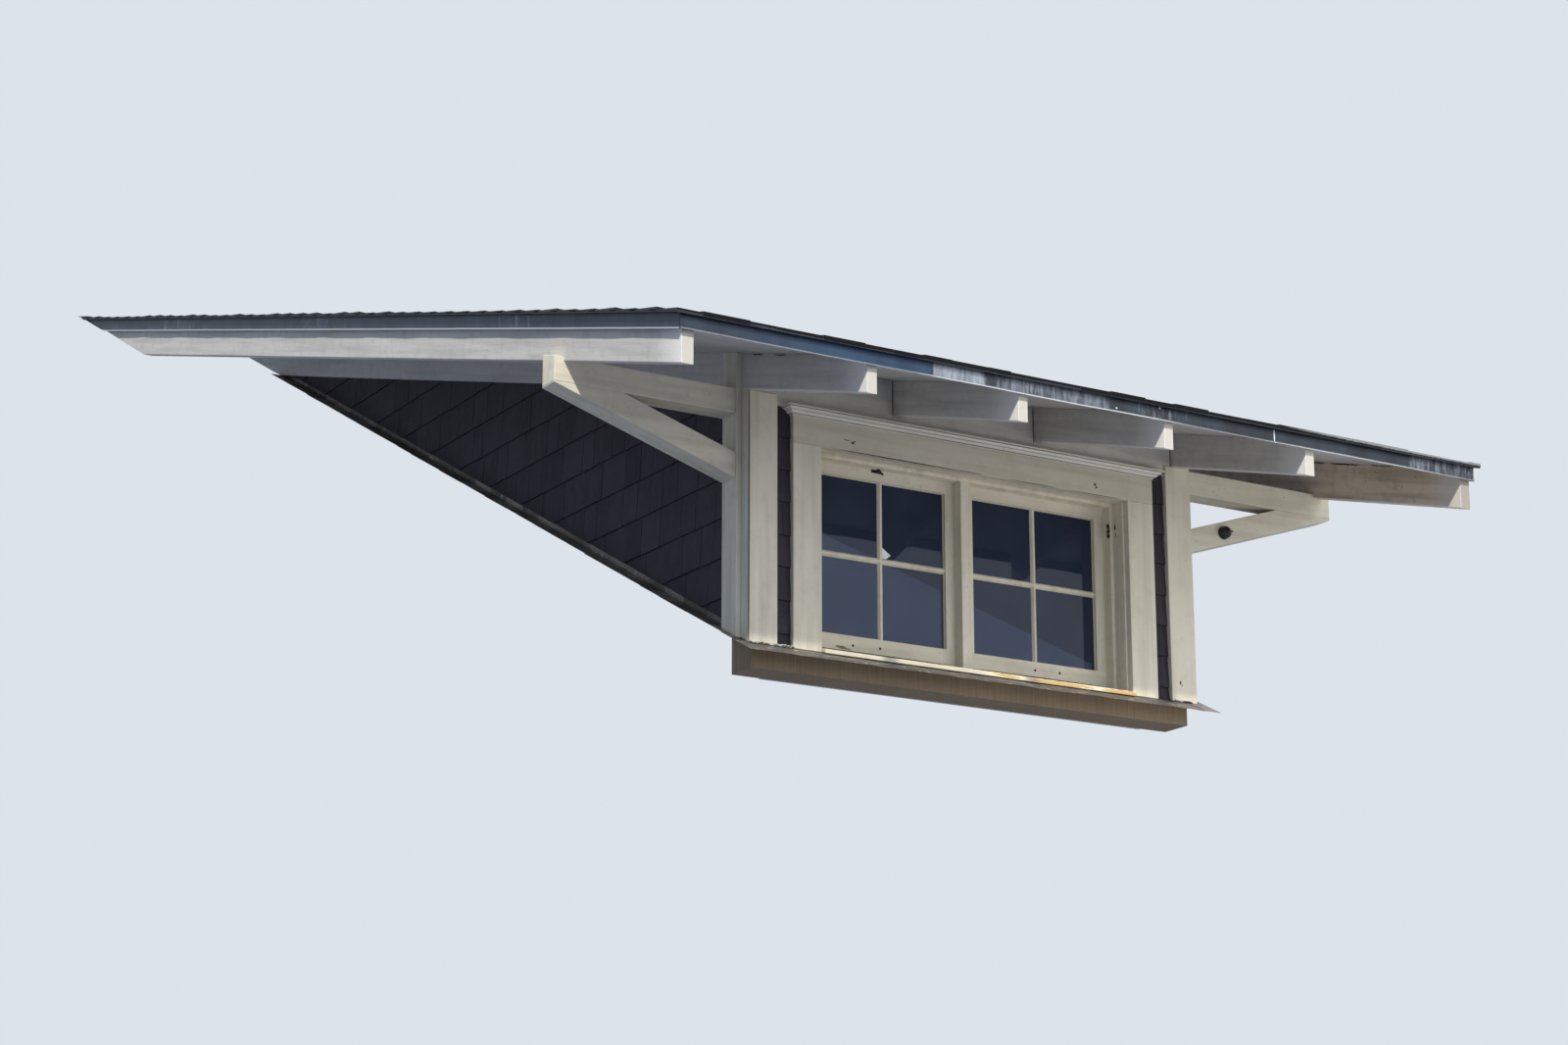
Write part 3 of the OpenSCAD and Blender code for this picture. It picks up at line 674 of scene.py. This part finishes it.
shape, tones = frontShingles(wallShingleSizes)
addPiece("frontShingles", shape, shingleStain, "wall_shingle", ["front_siding"], tone=tones)
for side, pieceName, nodeName in ((-1, "cheekShinglesLeft", "cheek_siding_left"),
                                  (1, "cheekShinglesRight", "cheek_siding_right")):
    shape, tones = cheekShingles(side, wallShingleSizes)
    addPiece(pieceName, shape, shingleStain, "wall_shingle", [nodeName], tone=tones)
print("wall shingles made")

# Crown moulding over the head casing: a moulded outline with a mitred return at each end

crownSizes = {"half": 776.0, "foot": 908.2, "height": 29.0, "out": 35.0, "face": -94.0, "wall": -66.0}


def crownMoulding(sizes):
    # outline of (projection, height) as shares: fillet, quarter round, step, cove, and a square cap on the frieze
    half, foot, height, out, face, wall = sizes.values()
    bend = np.linspace(0, math.pi / 2, 6)
    quarter = np.stack([0.22 + 0.24 * np.sin(bend), 0.46 - 0.24 * np.cos(bend)], axis=1)
    cove = np.stack([0.86 - 0.26 * np.cos(bend), 0.56 + 0.2 * np.sin(bend)], axis=1)
    outline = np.concatenate([[[0, 0], [0.12, 0], [0.12, 0.16], [0.22, 0.18]], quarter, [[0.5, 0.47], [0.5, 0.55]],
                              cove, [[0.9, 0.78], [1, 0.8], [1, 1], [0, 1]]])
    centres = [[-half, wall, foot], [-half, face, foot], [half, face, foot], [half, wall, foot]]
    body = sweep(outline * [out, height], centres, [[-1, 0, 0], [-1, -1, 0], [1, -1, 0], [1, 0, 0]])
    top = foot + height - 0.1
    core = bars([[wall, face + 0.2, face + 0.2, wall]], [[foot, foot, top, top]], 0.1 - half, half - 0.1)
    return gathered([body, core])


addPiece("crownMoulding", crownMoulding(crownSizes), paintCrown, "painted_trim", ["crown_moulding"])

# Glazing bars and putty

barSizes = {"width": 16.0, "front": 44.0, "glassFront": 53.0, "glassBack": 58.0, "back": 66.0, "flat": 6.0,
            "x": (60.0, 331.0, 602.0), "z": (189.0, 476.1, 763.2), "putty": 3.0, "puttyHigh": 4.5}


def glazingBars(side, sizes):
    # a cross of bars before and behind the glass; each bar's outline is flat in front and slopes to the putty line
    half, flat = sizes["width"] / 2, sizes["flat"] / 2
    across = np.array([[-half, half, half, flat, -flat, -half]])
    x, z = sorted(side * v for v in sizes["x"]), sizes["z"]
    parts = []
    for y0, y1 in ((sizes["glassFront"], sizes["front"]), (sizes["glassBack"], sizes["back"])):
        bend = y0 + 0.35 * (y1 - y0)
        y = np.array([[y0, y0, bend, y1, y1, bend]])
        parts.append(bars(y, z[1] + across, x[0], x[2]))
        # the upright bar is a little narrower than the level one and stands half a millimetre proud of it
        proud = np.where(y == y1, y1 + np.sign(y1 - y0) * 0.5, y)
        upright = np.stack([x[1] + across * 0.98, proud, 0 * y], axis=-1)
        parts.append(prisms(upright + [0, 0, z[0]], upright + [0, 0, z[2]]))
    gap = (0, half)
    panes = [[x[i] + gap[i], x[i + 1] - gap[1 - i], z[j] + gap[j], z[j + 1] - gap[1 - j]]
             for i in (0, 1) for j in (0, 1)]
    glass = sizes["glassFront"]
    top = glass - sizes["puttyHigh"]
    parts.append(beads(panes, [[0, glass], [sizes["putty"], glass], [0.6, top], [0, top]]))
    return gathered(parts)


for side, pieceName in ((-1, "glazingBarsLeft"), (1, "glazingBarsRight")):
    addPiece(pieceName, glazingBars(side, barSizes), paintSash, "painted_sash")

# Flashing on the roof before the wall and beside it, and squeezed under the trim's feet

flashingSizes = {"front": -179.0, "flat": 75.0, "upstand": 25.0, "plate": 196.0, "lap": 52.0, "sheet": 1.2,
                 "wallStart": 60.0, "endLift": {-1: 0.0, 1: planes["rafterLift"]},
                 "crumples": ((-955, -868), (-858, -772), (832, 884))}


def apronFlashing(sizes):
    # a sheet on the roof before the trim, carried along x; its front edge waves a little
    x = np.linspace(-planes["sideFace"], planes["sideFace"], 93)
    rise = 0.8 * (1 + np.sin(x / 53)) + 0.6 * (1 + np.sin(x / 17 + 1))
    front = sizes["front"] + 1.5 * (1 + np.sin(x / 71))
    back, low = np.full_like(x, planes["frontFace"]), np.full_like(x, 0.4)
    y = np.stack([front, back, back, front], axis=1)
    lift = np.stack([rise, low, low + sizes["sheet"], rise + sizes["sheet"]], axis=1)
    return sweep(np.stack([y, seatAt(y) + lift], axis=2), np.stack([x, 0 * x, 0 * x], axis=1), [0, 1, 0])


def stepFlashing(side, sizes):
    # lapped plates up the slope, each with a flat on the roof and an upstand on the wall, cut off where the roof ends
    wall, thick = planes["sideFace"], sizes["sheet"]
    last = backAt(sizes["endLift"][side])
    starts = np.arange(sizes["front"], last - 30, sizes["plate"] - sizes["lap"])
    ends = np.minimum(starts + sizes["plate"], last)
    y = np.stack([starts, ends, ends, starts], axis=1)
    reach = side * (wall + sizes["flat"] - dice.uniform(0, 7, (len(y), 1)))
    flats = bars(y, seatAt(y) + [1.6, 0.2, 0.2 + thick, 1.6 + thick], side * wall, reach)
    rising = starts > sizes["wallStart"] - 40
    y = np.maximum(y[rising], sizes["wallStart"])
    room = (last - y) * (planes["seatSlope"] - planes["roofSlope"])
    top = np.minimum(sizes["upstand"] - dice.uniform(0, 3, (len(y), 1)), room)
    lift = np.where([False, False, True, True], np.maximum(top, 1.0), 0.4)
    x = side * (wall + np.array([0.6, 0.0, 0.0, 0.6]))
    tones = dice.uniform(0, 1, len(starts)) ** 2 * 0.5
    return (gathered([flats, bars(y, seatAt(y) + lift, x, x + side * thick)]),
            np.concatenate([faceTones(tones), faceTones(tones[rising])]))


def crumpledSheet(x0, x1):
    # torn and squeezed flashing at a board's foot: an uneven six-sided outline carried along x
    count = int((x1 - x0) / 7) + 2
    outline = circle(6) * dice.uniform(0.35, 1.0, (count, 6, 1)) * [7.0, 5.5]
    outline[[0, -1]] *= 0.2
    y = -99.0 + dice.uniform(-3, 2, count)
    z = seatAt(y) + 8.0 + dice.uniform(-2, 3, count)
    return sweep(outline, np.stack([np.linspace(x0, x1, count), y, z], axis=1), [0, 1, 0])


shape = apronFlashing(flashingSizes)
tones = np.full(len(shape[0]), 0.1)
addPiece("apronFlashing", shape, flashingSheet, "flashing_metal", ["apron_flashing"], tone=tones)
shape = gathered([crumpledSheet(*ends) for ends in flashingSizes["crumples"]])
addPiece("crumpledFlashing", shape, flashingSheet, "flashing_metal", tone=np.full(len(shape[0]), 0.95))
for side, pieceName, nodeName in ((-1, "stepFlashingLeft", "step_flashing_left"),
                                  (1, "stepFlashingRight", "step_flashing_right")):
    shape, tones = stepFlashing(side, flashingSizes)
    addPiece(pieceName, shape, flashingSheet, "flashing_metal", [nodeName], tone=tones)
print("flashing made")

# Fittings of the window and one flake of paint

hardware = {"screws": ((-453, 154), (-341, 156), (323, 157), (432, 159.5)), "screwRadius": 4.6,
            "latch": (-351.0, 800.0), "hinge": (636.5, -2.0, 0.0), "knuckles": ((686, 699), (704, 715), (721, 737)),
            "flake": ((-325, 46.5, 526), (-294, 39.6, 499), (-312, 43.0, 484), (-325, 47.5, 488))}


def windowHardware(sizes):
    # screw heads on the bottom rails, a latch under the head and the worn knuckles of a hinge at the right
    r = sizes["screwRadius"]
    dome = [[r, 0], [r, 0.7], [r * 0.7, 1.5], [r * 0.2, 1.8]]
    parts = [turned(dome, (x, 39.0, z), steps=14) for x, z in sizes["screws"]]
    x, z = sizes["latch"]
    parts.append(bars([[39.2, 39.2, 36, 36]], [[z - 6, z + 7, z + 6, z - 5]], x - 21, x + 21))
    parts.append(turned([[3.4, 0], [3.4, 9], [6.5, 11], [7.5, 15], [6.0, 18], [2.0, 19.5]], (x, 38.0, z), steps=16))
    arm = np.array([[[x, 30, z - 4], [x, 30, z + 2], [x, 26, z + 2], [x, 26, z - 4]]])
    parts.append(prisms(arm, arm + [24, 2, -9]))
    ring = np.pad(5 * circle(12), ((0, 0), (0, 1)))[None] + sizes["hinge"]
    parts += [prisms(ring + [0, 0, a], ring + [0, 0, b]) for a, b in sizes["knuckles"]]
    return gathered(parts)


addPiece("windowHardware", windowHardware(hardware), rustedIron(), "painted_sash")
# the curled flake at the crossing of the left sash's bars is 1.4 mm thick; its near-white paint is partly a painted
# highlight
flake = np.array([hardware["flake"]], float)
addPiece("paintFlake", prisms(flake, flake + [0, -1.4, 0]), paintChalkAndSun, "painted_sash")
print("window made")

# Sheet metal along the eave and the sides

edgeSizes = {"sheet": 1.2, "height": 53.0, "halfEave": 1654.0, "eaveY": -859.0, "sideX": 1654.0, "wave": 0.9,
             "top": planes["boardLift"]}
hemRow = np.array([0, 0, 1, 1, 1, 0, 0])  # which points of the sheet's outline are the hem


def sheetOutline(sizes, wave):
    # outline of (outwards, up) for each station: an upright face whose foot kicks out and folds back in a hem
    foot, sheet = -sizes["height"], sizes["sheet"]
    base = np.array([[0, 0], [0, foot + 8], [5.6, foot + 2.4], [6.0, foot], [4.6, foot],
                     [-sheet, foot + 6], [-sheet, 0]])
    outline = np.repeat(base[None], len(wave), axis=0)
    outline[:, :, 0] += wave[:, None] * base[:, 1] / foot
    return outline


def between(x, a, b, soft):
    # 1 between a and b and 0 outside, with soft edges of that width inside them
    return np.clip((x - a) / soft, 0, 1) * np.clip((b - x) / soft, 0, 1)


def eaveEdge(sizes):
    # carried along x: its foot waves in and out by a sum of two sines, and its top line rises and falls by a third
    x = np.linspace(-sizes["halfEave"], sizes["halfEave"], 181)
    wave = sizes["wave"] * (np.sin(x / 97) + 0.6 * np.sin(x / 41 + 1) - 0.8)
    z = underAt(sizes["eaveY"] + 3) + sizes["top"] + 0.8 * np.sin(x / 140)
    centres = np.stack([x, np.full_like(x, sizes["eaveY"]), z], axis=1)
    # bright metal between two places along the eave, and again towards its right end: part bare metal and part
    # painted highlight
    wear = (between(x, -712, -490, 14) + 0.68 * between(x, -500, 40, 60) + 0.4 * between(x, 0, 420, 120)
            + 0.55 * between(x, 1270, 1800, 100))
    # left of the first bright patch the paint turns a brighter blue: a painted reflection of the sky
    fresh = np.where(x < -712, np.clip((x + 1650) / 600, 0.3, 1), 0)
    # the hem is brightest before the window and dull at the left: painted highlight and painted shade
    hem = 0.4 + 0.6 * between(x, -780, 330, 130) + 0.35 * between(x, 650, 1500, 200)
    return sweep(sheetOutline(sizes, wave), centres, [0, -1, 0]), wear, fresh, hem


def rakeEdge(side, sizes):
    # carried up the slope, with a foot that waves like the eave's
    y = np.linspace(-856.0, backAt(sizes["top"]) - 2, 161)
    wave = sizes["wave"] * (np.sin(y / 83 + side) + 0.6 * np.sin(y / 37) - 0.8)
    top = underAt(y) + sizes["top"]
    outline = sheetOutline(sizes, wave)
    # the foot can't go below the seat where the roof comes down to it
    outline[:, :, 1] = np.maximum(outline[:, :, 1], (seatAt(y) - top)[:, None]) - np.arange(len(hemRow)) * 0.01
    centres = np.stack([side * np.full_like(y, sizes["sideX"]), y, top], axis=1)
    wear = 0.22 + 0.2 * np.sin(y / 260)
    return sweep(outline, centres, [side, 0, 0]), wear, np.full_like(y, 0.4), np.full_like(y, 0.8)


for pieceName, nodeName, (shape, wear, fresh, hem) in (("eaveEdge", "edge_front", eaveEdge(edgeSizes)),
                                                       ("rakeEdgeLeft", "edge_left", rakeEdge(-1, edgeSizes)),
                                                       ("rakeEdgeRight", "edge_right", rakeEdge(1, edgeSizes))):
    addPiece(pieceName, shape, edgeSheet, "edge_metal", [nodeName], hem=(hem[:, None] * hemRow).ravel(),
             wear=np.repeat(wear, len(hemRow)), fresh=np.repeat(fresh, len(hemRow)))

# Lamp on the right brace

lampSizes = {"centre": (1149.0, -38.0, 767.8), "radius": 25.0, "depth": 35.0, "tilt": 15.0}


def lampBody(sizes):
    # a squat dome with a rounded nose; its outline is in shares of the radius and the depth
    outline = np.array([[0.9, 0], [1, 1.5 / 35], [1, 0.12], [0.94, 0.16], [0.94, 0.5], [0.86, 0.66], [0.66, 0.8],
                        [0.42, 0.88], [0.3, 0.9], [0.28, 0.98], [0.2, 1]])
    return turned(outline * [sizes["radius"], sizes["depth"]], sizes["centre"])


def lampNub(sizes):
    # a short cone that points to the right and up from the lamp's rim
    tilt = math.radians(sizes["tilt"])
    reach = np.array([17.0, 27.0, 33.0, 38.0])
    thick = np.array([7.0, 5.0, 3.4, 1.6])
    along = np.array([math.cos(tilt), 0, math.sin(tilt)])
    centres = np.asarray(sizes["centre"]) + [0, -14, 0] + reach[:, None] * along
    return sweep(thick[:, None, None] * circle(12), centres, [-math.sin(tilt), 0, math.cos(tilt)], [0, 1, 0])


shape = gathered([lampBody(lampSizes), lampNub(lampSizes)])
addPiece("braceLamp", shape, lampPlastic(), "lamp_black", ["brace_lamp"], smooth=True)
print("edges and lamp made")

# Floor, light and camera


def seen(tree):
    # 1 for what the camera sees, straight or through glass and in metal, and 0 for light on its way to the object
    rays = addNode(tree, "ShaderNodeLightPath").outputs
    straight = maths("MAXIMUM", rays["Is Camera Ray"], rays["Is Glossy Ray"])
    return maths("MAXIMUM", straight, rays["Is Transmission Ray"])


def paleFloor():
    # Matt pale floor: shown pale, but it throws little light up, as the dark roof round a real dormer does
    material = newMaterial("mattFloor")[0]
    return finish(material, blend(seen(material.node_tree), "#6F7788", "#B0B3B7"), 0.9, None, 0, {})


stageSizes = {"floor": -2.75, "radius": 60.0}
floorMesh = bpy.data.meshes.new("floor")
rim = np.pad(circle(64) * stageSizes["radius"], ((0, 0), (0, 1)), constant_values=stageSizes["floor"])
floorMesh.from_pydata(rim.tolist(), [], [list(range(64))])
floorMesh.materials.append(paleFloor())
floor = bpy.data.objects.new("floor", floorMesh)
bpy.context.scene.collection.objects.link(floor)

world = bpy.data.worlds.new("paleRoom")
bpy.context.scene.world = world
world.use_nodes = True
sky = world.node_tree
sky.nodes.clear()
lightSky = addNode(sky, "ShaderNodeBackground", {"Color": linear("#C2D4F3"), "Strength": 0.52}).outputs[0]
paleSky = addNode(sky, "ShaderNodeBackground", {"Color": linear("#DDE3EA"), "Strength": 1.0}).outputs[0]
chosen = addNode(sky, "ShaderNodeMixShader", {0: seen(sky), 1: lightSky, 2: paleSky})
addNode(sky, "ShaderNodeOutputWorld", {"Surface": chosen.outputs[0]})

lamps = {
    "keyLight": {"kind": "SUN", "direction": (0.6, 0.8, -0.78), "power": 3.5, "size": 2.0,
                 "colour": (1.0, 0.965, 0.9)},
    "frontFill": {"kind": "SUN", "direction": (-0.42, 0.9, -0.12), "power": 1.25, "size": 70.0,
                  "colour": (1.0, 0.975, 0.93)},
    "rightBounce": {"kind": "AREA", "direction": (-0.6, 0.65, 0.35), "power": 22.0, "size": 1.5,
                    "colour": (1.0, 0.92, 0.8), "place": (3.0, -2.6, -0.6)},
    "roofBounce": {"kind": "AREA", "direction": (0.25, 0.65, 0.6), "power": 12.0, "size": 1.2,
                   "colour": (1.0, 0.95, 0.87), "place": (0.7, -2.5, -1.1)},
}
for lampName, light in lamps.items():
    lamp = bpy.data.lights.new(lampName, light["kind"])
    lamp.energy = light["power"]
    if light["kind"] == "SUN":
        lamp.angle = math.radians(light["size"])
    else:
        lamp.size = light["size"]
    lamp.color = light["colour"]
    holder = bpy.data.objects.new(lampName, lamp)
    holder.location = light.get("place", (0, 0, 0))
    holder.visible_camera = False
    holder.visible_glossy = light["kind"] == "SUN"
    holder.rotation_mode = "QUATERNION"
    holder.rotation_quaternion = Vector(light["direction"]).to_track_quat("-Z", "Y")
    bpy.context.scene.collection.objects.link(holder)

cameraSettings = {"place": (-6.303, -9.194, -2.432), "azimuth": 31.1, "elevation": 15.5, "lens": 74.0}
cameraData = bpy.data.cameras.new("camera")
cameraData.lens = cameraSettings["lens"]
cameraData.sensor_width = 36.0
camera = bpy.data.objects.new("camera", cameraData)
azimuth, elevation = (math.radians(cameraSettings[k]) for k in ("azimuth", "elevation"))
level = math.cos(elevation)
forward = Vector((math.sin(azimuth) * level, math.cos(azimuth) * level, math.sin(elevation)))
camera.rotation_mode = "QUATERNION"
camera.rotation_quaternion = forward.to_track_quat("-Z", "Y")
camera.location = cameraSettings["place"]
bpy.context.scene.collection.objects.link(camera)
bpy.context.scene.camera = camera
bpy.context.scene.view_settings.view_transform = "Standard"
print("stage made")
